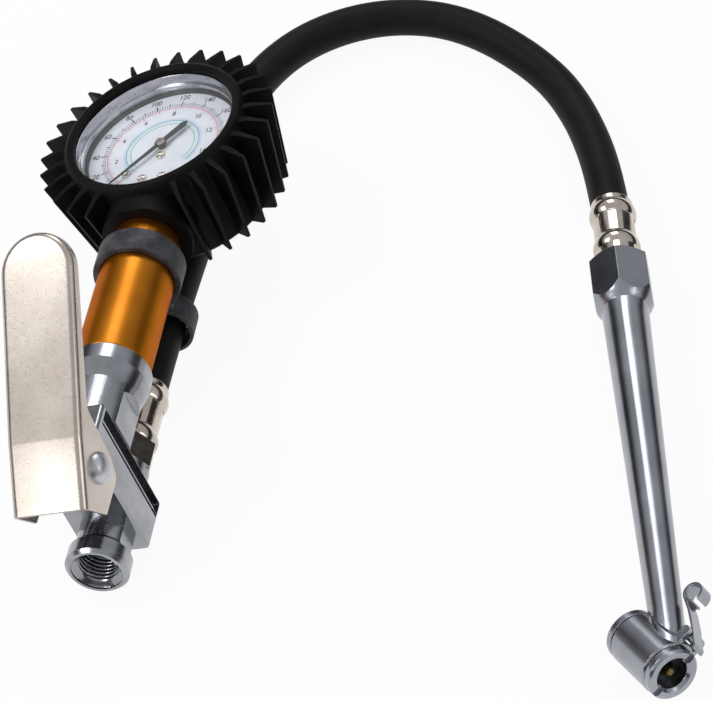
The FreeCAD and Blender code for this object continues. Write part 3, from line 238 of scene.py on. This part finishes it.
# Inlet thread. The quarter-inch pipe thread is tapped in the boss, so its turns catch the light in
# the mouth.
def group(name, sockets):
    """Starts a geometry tree with named inputs, and gives it with its input and output nodes."""
    tree = bpy.data.node_groups.new(name, "GeometryNodeTree")
    for title, kind in sockets:
        tree.interface.new_socket(title, in_out="INPUT", socket_type=kind)
    tree.interface.new_socket("Geometry", in_out="OUTPUT", socket_type="NodeSocketGeometry")
    return tree, add(tree, "NodeGroupInput"), add(tree, "NodeGroupOutput")


def grown(name, tree, values, mesh=None):
    """Makes a piece from a geometry tree, with the tree's inputs set by their titles."""
    piece = placed(name, mesh or bpy.data.meshes.new(name))
    modifier = piece.modifiers.new("tree", "NODES")
    modifier.node_group = tree
    for item in tree.interface.items_tree:
        if item.in_out == "INPUT" and item.name in values:
            modifier[item.identifier] = values[item.name]
    kept_mesh(piece)
    return piece


thread_tree, given, result = group("thread_turns", [
    ("Radius", "NodeSocketFloat"), ("Pitch", "NodeSocketFloat"), ("Turns", "NodeSocketFloat"),
    ("Ridge", "NodeSocketFloat"), ("Material", "NodeSocketMaterial")])
thread_length = add(thread_tree, "ShaderNodeMath", {"operation": "MULTIPLY"}, {
    0: given.outputs["Pitch"], 1: given.outputs["Turns"]})
thread_line = add(thread_tree, "GeometryNodeCurveSpiral", inputs={
    "Resolution": 48, "Rotations": given.outputs["Turns"], "Start Radius": given.outputs["Radius"],
    "End Radius": given.outputs["Radius"], "Height": thread_length.outputs["Value"]})
thread_section = add(thread_tree, "GeometryNodeCurvePrimitiveCircle", inputs={
    "Resolution": 6, "Radius": given.outputs["Ridge"]})
thread_solid = add(thread_tree, "GeometryNodeCurveToMesh", inputs={
    "Curve": thread_line.outputs["Curve"], "Profile Curve": thread_section.outputs["Curve"],
    "Fill Caps": True})
thread_real = add(thread_tree, "GeometryNodeRealizeInstances", inputs={
    "Geometry": thread_solid.outputs["Mesh"]})
thread_done = add(thread_tree, "GeometryNodeSetMaterial", inputs={
    "Geometry": thread_real.outputs["Geometry"], "Material": given.outputs["Material"]})
thread_tree.links.new(thread_done.outputs["Geometry"], result.inputs["Geometry"])

# The gun's own frame has the barrel along Y. It tips and leans until the hose fitting and the boot
# rest on the table.
gun_tip = math.radians(-1.5)
gun_lean = math.radians(-19.5)
gun = (Matrix.Translation((-0.0723, -0.0894, 0.0333)) @ Matrix.Rotation(gun_tip, 4, "X")
       @ Matrix.Rotation(gun_lean, 4, "Y"))

inlet_mouth = Matrix.Translation((0, 0.0022, -0.0220))
along_barrel = Matrix.Rotation(math.radians(-90), 4, "X")
inlet_thread = grown("inlet_thread", thread_tree, {
    "Radius": 0.0060, "Pitch": 0.00141, "Turns": 8.0, "Ridge": 0.00045, "Material": satin_chrome})
inlet_thread.data.transform(gun @ inlet_mouth @ along_barrel)
dressed(inlet_thread, "inflator", "satin_chrome")


# Valve inside the block. A brass gland screws into the block and guides the steel stem, and a
# spring behind the rubber poppet keeps the brass seat shut.
def clouded(name, values, scale, detail, colours, roughness):
    """A finish whose colour and roughness drift together, from one soft pattern."""
    material, tree, shader, place = new_finish(name, values)
    cloud = add(tree, "ShaderNodeTexNoise", inputs={
        "Vector": place, "Scale": scale, "Detail": detail})
    two_tone(tree, shader, cloud.outputs["Fac"], *colours)
    rough_between(tree, shader, cloud.outputs["Fac"], *roughness)
    return material


def finished(material, *nodes):
    """Gives solids whose shape is right their real finish."""
    for node in nodes:
        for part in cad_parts[node].material_slots:
            part.material = material


# Turned brass: warm yellow, with tool marks of 1 mm, drawn coarser than life so that they show.
brass = clouded("turned_brass", {"Metallic": 1.0}, scale=900.0, detail=3.0,
                colours=("#a67c34", "#c39a4c"), roughness=(0.22, 0.36))

# Bright steel wire and stampings: neutral grey and smooth, under a thin film of oil.
plain_steel = clouded("plain_steel", {"Metallic": 1.0}, scale=400.0, detail=3.0,
                      colours=("#8f9092", "#a9abad"), roughness=(0.25, 0.38))

# Moulded seal rubber: black and smooth, with a slight grease shine.
seal_rubber = clouded("moulded_seal_rubber", {"Specular IOR Level": 0.5}, scale=300.0, detail=2.0,
                      colours=("#131314", "#1d1d1f"), roughness=(0.32, 0.5))

finished(brass, "valve_seat", "gland_nut")
finished(plain_steel, "valve_stem")
finished(seal_rubber, "poppet_seal", "stem_seal")


def working_coil(node):
    """Copies a coil in place of its solid, on a mesh of its own."""
    coil = rounded(node, 0.0, plain_steel)
    dressed(coil, "inflator", "plain_steel", node)
    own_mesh(coil)


working_coil("valve_spring")


# Lever. Pressed from 1.2 mm steel sheet into a channel, then tumbled and nickel plated. A domed
# steel rivet through the casting's lug is its pivot.

# Satin nickel: warm light grey, with clouds of 22 mm and fine pits of 1 mm from the tumbling.
satin_nickel, tree, shader, place = new_finish("satin_nickel_on_pressing", {"Metallic": 1.0})
clouds = add(tree, "ShaderNodeTexNoise", inputs={"Vector": place, "Scale": 45.0, "Detail": 4.0})
pits = add(tree, "ShaderNodeTexNoise", inputs={
    "Vector": place, "Scale": 800.0, "Detail": 5.0, "Roughness": 0.7})
two_tone(tree, shader, clouds.outputs["Fac"], "#b9afa5", "#cdc4bb")
rough_between(tree, shader, pits.outputs["Fac"], 0.22, 0.34)
raise_by(tree, shader, pits.outputs["Fac"], 0.00003, 0.22)

lever_pressing = rounded("lever", 0.00035, satin_nickel, segments=3)
dressed(lever_pressing, "lever", "satin_nickel", "lever")


rim_angle = math.radians(50)


def turned(name, profile, material, sides=48):
    """Spins a profile of distances along X and radii into a closed smooth piece."""
    corners, faces = [], []
    for along, radius in profile[1:-1]:
        for step in range(sides):
            angle = 2 * math.pi * step / sides
            corners.append((along, radius * math.cos(angle), radius * math.sin(angle)))
    for ring in range(len(profile) - 3):
        for step in range(sides):
            after = (step + 1) % sides
            faces.append((ring * sides + step, (ring + 1) * sides + step,
                          (ring + 1) * sides + after, ring * sides + after))
    first, last = len(corners), len(corners) + 1
    corners += [(profile[0][0], 0, 0), (profile[-1][0], 0, 0)]
    end = (len(profile) - 3) * sides
    for step in range(sides):
        after = (step + 1) % sides
        faces.append((first, step, after))
        faces.append((last, end + after, end + step))
    mesh = bpy.data.meshes.new(name)
    mesh.from_pydata(corners, [], faces)
    mesh.materials.append(material)
    mesh.shade_smooth()
    mesh.set_sharp_from_angle(angle=rim_angle)
    work = bmesh.new()
    work.from_mesh(mesh)
    bmesh.ops.recalc_face_normals(work, faces=work.faces)
    work.to_mesh(mesh)
    work.free()
    return placed(name, mesh)


# Zinc-plated rivet: pale, a little blue, and soft from its tumbling.
rivet_zinc = clouded("tumbled_zinc_on_rivet", {"Metallic": 1.0}, scale=500.0, detail=3.0,
                     colours=("#bcbdc4", "#d2d3d9"), roughness=(0.36, 0.48))

rivet_seat = 0.01195
rivet_radius = 0.0049
shank_radius = 0.0020
lever_pivot = Matrix.Translation((0, 0.0110, 0.0100))


def rivet_head(side, height):
    """A dome on one side of the lever, from its rim to its top."""
    slopes = [math.radians(angle) for angle in range(0, 91, 9)]
    return [(side * (rivet_seat + height * math.sin(slope)), rivet_radius * math.cos(slope))
            for slope in slopes]


rivet = turned("rivet", [
    *reversed(rivet_head(-1, 0.0024)), (-rivet_seat, shank_radius),
    (rivet_seat, shank_radius), *rivet_head(1, 0.0034)], rivet_zinc)
rivet.data.transform(gun @ lever_pivot)
dressed(rivet, "lever", "satin_nickel", "lever_rivet")


# Grip barrel. An aluminium tube turned on a lathe and anodised gold. It screws on the casting and
# carries the gauge.

# Gold anodising: a metallic orange gold under a thin clear skin. The lathe's rings are drawn 0.7 mm
# apart, coarser than life, so that they show.
gold, tree, shader, place = new_finish("gold_anodised_aluminium", {
    "Metallic": 1.0, "Specular Tint": linear("#d8a458"),
    "Coat Weight": 0.12, "Coat Roughness": 0.25})
round_barrel = add(tree, "ShaderNodeMapping", inputs={
    "Vector": place, "Rotation": (-gun_tip, 0, 0), "Scale": (60.0, 1500.0, 60.0)})
lathe = add(tree, "ShaderNodeTexNoise", inputs={
    "Vector": round_barrel.outputs["Vector"], "Scale": 1.0, "Detail": 2.0})
tint = add(tree, "ShaderNodeTexNoise", inputs={"Vector": place, "Scale": 60.0, "Detail": 2.0})
two_tone(tree, shader, tint.outputs["Fac"], "#b46c16", "#c2781f")
rough_between(tree, shader, lathe.outputs["Fac"], 0.30, 0.44)
raise_by(tree, shader, lathe.outputs["Fac"], 0.00002, 0.35)

grip = rounded("grip_barrel", 0.0004, gold, segments=3)
dressed(grip, "inflator", "gold_aluminium", "grip_barrel")


# Gauge. A pressed steel cup holds the brass tube and movement, and a plated stepped ring over its
# front carries the window. Cup and ring are nearly hidden in the rubber boot.

# Bright nickel: warm grey and nearly a mirror.
bright_nickel = clouded("bright_nickel_plate", {"Metallic": 1.0}, scale=220.0, detail=3.0,
                        colours=("#bdb2a6", "#cfc5ba"), roughness=(0.10, 0.20))

# Chromed ring: cooler than the nickel, and a little hazy behind the window.
ring_chrome = clouded("chromed_ring", {"Metallic": 1.0}, scale=180.0, detail=3.0,
                      colours=("#b0b2b7", "#c6c8cd"), roughness=(0.12, 0.24))

for node in ("gauge_bezel", "dial_surround"):
    dressed(rounded(node, 0.0002, ring_chrome), "inflator", "bright_nickel", node)
finished(plain_steel, "gauge_case", "movement_plates")
finished(brass, "gauge_socket", "bourdon_tube", "pinion_arbor", "sector_gear")
finished(seal_rubber, "dial_gasket")

# Clear acrylic window: see-through, with a faint gloss over the dial.
clear_window, tree, shader, place = new_finish("clear_acrylic_window", {
    "Base Color": linear("#ffffff"), "IOR": 1.49, "Alpha": 0.04})
wipe = add(tree, "ShaderNodeTexNoise", inputs={"Vector": place, "Scale": 120.0, "Detail": 2.0})
rough_between(tree, shader, wipe.outputs["Fac"], 0.03, 0.07)
clear_window.surface_render_method = "BLENDED"
finished(clear_window, "gauge_lens")


# Dial. A white lacquered disc printed with a pressure scale in black, a second scale in pink and
# rings in blue and green. Four small screws hold it to the movement.

# Dial lacquer: a cool white, half matt.
dial_lacquer = clouded("white_dial_lacquer", {"Specular IOR Level": 0.4}, scale=150.0, detail=3.0,
                       colours=("#d9dde6", "#e3e7ef"), roughness=(0.38, 0.5))
finished(dial_lacquer, "dial_plate")


def ink(name, dark, light):
    """Screen-printed ink: flat and matt, a little uneven in its cover."""
    return clouded(name, {"Specular IOR Level": 0.3}, scale=1200.0, detail=2.0,
                   colours=(dark, light), roughness=(0.5, 0.65))


black_ink = ink("black_printing_ink", "#17171a", "#2a2a2d")
pink_ink = ink("pink_printing_ink", "#cf6478", "#dc7f8f")
blue_ink = ink("blue_printing_ink", "#5aa6c6", "#78b9d4")
green_ink = ink("green_printing_ink", "#7cc4a0", "#94d2b2")

round_tree, given, result = group("copies_round_an_axis", [
    ("Geometry", "NodeSocketGeometry"), ("Count", "NodeSocketInt"), ("First", "NodeSocketFloat"),
    ("Step", "NodeSocketFloat"), ("Material", "NodeSocketMaterial")])
round_points = add(round_tree, "GeometryNodeMeshLine", inputs={
    "Count": given.outputs["Count"], "Offset": (0, 0, 0)})
round_index = add(round_tree, "GeometryNodeInputIndex")
round_turn = add(round_tree, "ShaderNodeMath", {"operation": "MULTIPLY_ADD"}, {
    0: round_index.outputs["Index"], 1: given.outputs["Step"], 2: given.outputs["First"]})
round_angle = add(round_tree, "ShaderNodeCombineXYZ", inputs={"Z": round_turn.outputs["Value"]})
round_copies = add(round_tree, "GeometryNodeInstanceOnPoints", inputs={
    "Points": round_points.outputs["Mesh"], "Instance": given.outputs["Geometry"],
    "Rotation": round_angle.outputs["Vector"]})
round_real = add(round_tree, "GeometryNodeRealizeInstances", inputs={
    "Geometry": round_copies.outputs["Instances"]})
round_done = add(round_tree, "GeometryNodeSetMaterial", inputs={
    "Geometry": round_real.outputs["Geometry"], "Material": given.outputs["Material"]})
round_tree.links.new(round_done.outputs["Geometry"], result.inputs["Geometry"])

dial = gun @ Matrix.Translation((0, 0.158, 0.007))
ink_height = 0.00004
scale_zero = math.radians(229.5)
scale_sweep = math.radians(270.0)
scale_top = 220
psi = scale_sweep / scale_top
bar = 14.504 * psi


def flat_mesh(name, corners):
    """One flat outline that faces up, a hair above the dial."""
    mesh = bpy.data.meshes.new(name)
    mesh.from_pydata([(x, y, ink_height) for x, y in corners], [], [tuple(range(len(corners)))])
    return mesh


def printed_round(name, colour, shape, count, first, step):
    """Copies of a flat shape round the dial, clockwise by a step in radians."""
    piece = grown(name, round_tree, {
        "Count": count, "First": first, "Step": -step, "Material": colour}, shape)
    piece.data.transform(dial)
    dressed(piece, "inflator", "dial_white")


def ticks(name, colour, count, inner, outer, width, step):
    """Radial strokes of one length from the scale's zero on, in metres and radians."""
    half = width / 2
    stroke = flat_mesh(name, [(inner, -half), (outer, -half), (outer, half), (inner, half)])
    printed_round(name, colour, stroke, count, scale_zero, step)


link_turn = math.radians(3)


def printed_arc(name, colour, radius, width):
    """A thin arc along the whole scale, made of short flat links."""
    links = int(scale_sweep / link_turn)
    half = scale_sweep / links / 2
    inner, outer = radius - width / 2, radius + width / 2
    link = flat_mesh(name, [
        (inner * math.cos(half), -inner * math.sin(half)),
        (outer * math.cos(half), -outer * math.sin(half)),
        (outer * math.cos(half), outer * math.sin(half)),
        (inner * math.cos(half), inner * math.sin(half))])
    printed_round(name, colour, link, links, scale_zero - half, 2 * half)


figure_share = 0.72
figure_narrowing = 0.82
stroke_spread = 0.00003


def numbers(name, values, radius, height, per_unit):
    """Upright black figures round the dial, as one mesh."""
    work = bmesh.new()
    for value in values:
        text = bpy.data.curves.new(name, "FONT")
        text.body = str(value)
        text.size = height / figure_share
        text.offset = stroke_spread
        text.align_x = "CENTER"
        text.align_y = "CENTER"
        writing = placed(name + "_figure", text)
        bpy.context.view_layer.update()
        ready = writing.evaluated_get(bpy.context.evaluated_depsgraph_get())
        shape = bpy.data.meshes.new_from_object(ready)
        turn = scale_zero - per_unit * value
        where = Matrix.Translation((radius * math.cos(turn), radius * math.sin(turn), ink_height))
        shape.transform(dial @ where @ Matrix.Diagonal((figure_narrowing, 1.0, 1.0, 1.0)))
        work.from_mesh(shape)
        bpy.data.objects.remove(writing)
    mesh = bpy.data.meshes.new(name)
    work.to_mesh(mesh)
    work.free()
    mesh.materials.append(black_ink)
    dressed(placed(name, mesh), "inflator", "dial_white")


ticks("scale_fine", black_ink, 111, 0.0200, 0.0213, 0.00022, 2 * psi)
ticks("scale_tens", black_ink, 23, 0.0200, 0.0218, 0.00034, 10 * psi)
ticks("scale_twenties", black_ink, 12, 0.0198, 0.0222, 0.00044, 20 * psi)
numbers("scale_numbers", range(20, 221, 20), 0.0241, 0.0023, psi)

printed_arc("pink_arc", pink_ink, 0.0195, 0.00028)
ticks("pink_fine", pink_ink, 76, 0.0187, 0.0195, 0.00018, bar / 5)
ticks("pink_long", pink_ink, 16, 0.0181, 0.0195, 0.00028, bar)
numbers("inner_numbers", range(2, 15, 2), 0.0163, 0.0021, bar)

printed_arc("blue_arc", blue_ink, 0.0128, 0.00036)
ticks("blue_ticks", blue_ink, 76, 0.0128, 0.0139, 0.00018, bar / 5)
printed_arc("green_arc", green_ink, 0.0112, 0.00034)
ticks("green_ticks", green_ink, 31, 0.0112, 0.0122, 0.00022, bar / 2)

screw_heads = rounded("dial_screws", 0.0002, bright_nickel)
dressed(screw_heads, "inflator", "bright_nickel", "dial_screws")


# Pointer. A thin stamped needle with a tail, lacquered black and pressed on the movement's arbor,
# with a small plated cap over its hub.

# Needle lacquer: black with a soft shine.
needle_black = clouded("black_needle_lacquer", {"Specular IOR Level": 0.5}, scale=500.0, detail=2.0,
                       colours=("#101012", "#1a1a1d"), roughness=(0.3, 0.45))
finished(needle_black, "pointer")
finished(bright_nickel, "pointer_cap")


# Rubber boot. A soft guard with fins from front to back, moulded in one and pushed over the gauge.
# The mould leaves its fin edges rounded.

# Boot rubber: matt brown black, with a faint bloom in patches of 9 mm and a skin of 0.7 mm grain.
boot_rubber, tree, shader, place = new_finish(
    "matt_moulded_boot_rubber", {"Specular IOR Level": 0.09})
bloom = add(tree, "ShaderNodeTexNoise", inputs={"Vector": place, "Scale": 110.0, "Detail": 4.0})
skin = add(tree, "ShaderNodeTexNoise", inputs={"Vector": place, "Scale": 1500.0, "Detail": 2.0})
two_tone(tree, shader, bloom.outputs["Fac"], "#0b0a0a", "#121110")
rough_between(tree, shader, bloom.outputs["Fac"], 0.46, 0.6)
raise_by(tree, shader, skin.outputs["Fac"], 0.00006, 0.5)
boot = rounded("rubber_boot", 0.0004, boot_rubber, clamp=True)
dressed(boot, "inflator", "boot_rubber", "rubber_boot")


# Hose strap. A moulded rubber band in a figure of eight. One loop grips the barrel, and the hose
# passes loosely through the other.

# Strap rubber: greyer than the boot, and scuffed in patches of 4 mm.
strap_rubber, tree, shader, place = new_finish(
    "grey_black_strap_rubber", {"Specular IOR Level": 0.4})
scuff = add(tree, "ShaderNodeTexNoise", inputs={"Vector": place, "Scale": 260.0, "Detail": 5.0})
two_tone(tree, shader, scuff.outputs["Fac"], "#242327", "#46454b")
rough_between(tree, shader, scuff.outputs["Fac"], 0.5, 0.7)
raise_by(tree, shader, scuff.outputs["Fac"], 0.00015, 0.5)
strap = rounded("hose_strap", 0.0005, strap_rubber, segments=3)
dressed(strap, "inflator", "boot_rubber", "hose_strap")


# Hose fittings. A nickel-plated nipple screws into the gun and a brass one into the chuck. A plated
# sleeve is crimped over each end of the hose with an eight-jaw die, which leaves flats between two
# beads.
for node, edge, corner in (
        ("gun_ferrule", 0.0002, 20.0), ("gun_nipple", 0.0003, 28.0),
        ("chuck_ferrule", 0.0002, 20.0)):
    dressed(rounded(node, edge, bright_nickel, corner=corner), "inflator", "bright_nickel", node)
finished(brass, "chuck_nipple")


# Chuck. A zinc casting, polished and bright chromed, with a long tapered tube, a hexagon for the
# spanner and a slanting head with a mouth at both ends.

# Polished chrome: cool grey and glossy, with a breath of haze and a slight wave from the polishing.
bright_chrome, tree, shader, place = new_finish("polished_chrome_plate", {"Metallic": 1.0})
breath = add(tree, "ShaderNodeTexNoise", inputs={"Vector": place, "Scale": 60.0, "Detail": 3.0})
wave = add(tree, "ShaderNodeTexNoise", inputs={"Vector": place, "Scale": 350.0, "Detail": 2.0})
two_tone(tree, shader, breath.outputs["Fac"], "#94969d", "#a5a7ae")
rough_between(tree, shader, breath.outputs["Fac"], 0.20, 0.29)
raise_by(tree, shader, wave.outputs["Fac"], 0.00002, 0.25)
for node, edge, corner in (
        ("chuck_body", 0.0001, 20.0), ("front_ring_nut", 0.00015, 28.0),
        ("rear_ring_nut", 0.00015, 28.0)):
    dressed(rounded(node, edge, bright_chrome, corner=corner), "inflator", "satin_chrome", node)
finished(seal_rubber, "front_seal", "rear_seal")
finished(brass, "spring_divider")

# Brass gone dull with air and oil: an olive brown that hardly shines.
dull_brass = clouded("dull_oiled_brass", {"Metallic": 1.0}, scale=600.0, detail=3.0,
                     colours=("#6c6036", "#8b7d4a"), roughness=(0.32, 0.5))
finished(dull_brass, "front_depressor", "rear_depressor")
working_coil("front_spring")
working_coil("rear_spring")


# Locking clip. A strip of spring steel with a rolled thumb end, bright plated, on a pin between two
# ears of the head.
clip = rounded("clip_lever", 0.00012, bright_chrome)
dressed(clip, "clip", "bright_nickel", "clip_lever")
finished(plain_steel, "clip_pin")


# Floor and light. A white table under four small soft lamps, in a room that is white to the camera.
# Metal shows the white table, a pale ceiling and a dark low wall, which gives it its dark streaks.
def seen_rays(tree):
    """Gives 1 for rays from the camera, and for those that metal and glass send on."""
    path = add(tree, "ShaderNodeLightPath")
    either = add(tree, "ShaderNodeMath", {"operation": "MAXIMUM"}, {
        0: path.outputs["Is Camera Ray"], 1: path.outputs["Is Glossy Ray"]})
    any_of_them = add(tree, "ShaderNodeMath", {"operation": "MAXIMUM"}, {
        0: either.outputs["Value"], 1: path.outputs["Is Transmission Ray"]})
    return any_of_them.outputs["Value"]


table_reach = 4
table_level = -0.0002
table_glow = 0.93
table_white = bpy.data.materials.new("white_table")
table_white.use_nodes = True
tree = table_white.node_tree
tree.nodes.clear()
paint = add(tree, "ShaderNodeBsdfDiffuse", inputs={"Color": linear("#f4f4f4")})
glow = add(tree, "ShaderNodeEmission", inputs={"Color": (1, 1, 1, 1), "Strength": 1.0})
share = add(tree, "ShaderNodeMath", {"operation": "MULTIPLY"}, {
    0: seen_rays(tree), 1: table_glow})
blend = add(tree, "ShaderNodeMixShader", inputs={
    0: share.outputs["Value"], 1: paint.outputs["BSDF"], 2: glow.outputs["Emission"]})
add(tree, "ShaderNodeOutputMaterial", inputs={"Surface": blend.outputs["Shader"]})
table_mesh = bpy.data.meshes.new("table")
table_mesh.from_pydata([
    (x * table_reach, y * table_reach, table_level)
    for x, y in ((-1, -1), (1, -1), (1, 1), (-1, 1))], [], [(0, 1, 2, 3)])
table_mesh.materials.append(table_white)
table = placed("table", table_mesh)

world = bpy.data.worlds.new("room")
bpy.context.scene.world = world
world.use_nodes = True
tree = world.node_tree
tree.nodes.clear()
place = add(tree, "ShaderNodeTexCoord").outputs["Generated"]
height = add(tree, "ShaderNodeSeparateXYZ", inputs={"Vector": place})
wall = add(tree, "ShaderNodeMapRange", {"interpolation_type": "SMOOTHSTEP"}, {
    "Value": height.outputs["Z"], "From Min": 0.28, "From Max": 0.50,
    "To Min": 0.04, "To Max": 0.62})
room_light = add(tree, "ShaderNodeBackground", inputs={
    "Color": linear("#f4f6fa"), "Strength": wall.outputs["Result"]})
room_white = add(tree, "ShaderNodeBackground", inputs={"Color": (1, 1, 1, 1), "Strength": 1.0})
path = add(tree, "ShaderNodeLightPath")
room = add(tree, "ShaderNodeMixShader", inputs={
    0: path.outputs["Is Camera Ray"], 1: room_light.outputs["Background"],
    2: room_white.outputs["Background"]})
add(tree, "ShaderNodeOutputWorld", inputs={"Surface": room.outputs["Shader"]})

lamp_aim = Vector((0, 0.02, 0))


def soft_lamp(name, where, size, power):
    """A soft lamp of a size in metres and a power in watts, facing the middle of the object."""
    data = bpy.data.lights.new(name, "AREA")
    data.shape = "RECTANGLE"
    data.size, data.size_y = size
    data.energy = power
    lamp = placed(name, data)
    lamp.location = where
    lamp.rotation_euler = (lamp_aim - Vector(where)).to_track_quat("-Z", "Y").to_euler()


soft_lamp("back_lamp", (-0.26, 0.95, 0.95), (0.46, 0.58), 3.4)
soft_lamp("upper_key_lamp", (-0.80, -0.06, 0.87), (0.34, 0.34), 3.6)
soft_lamp("lower_key_lamp", (-0.65, -0.715, 0.485), (0.28, 0.28), 2.7)
soft_lamp("fill_lamp", (0.9, -0.4, 0.8), (0.4, 0.8), 2.0)
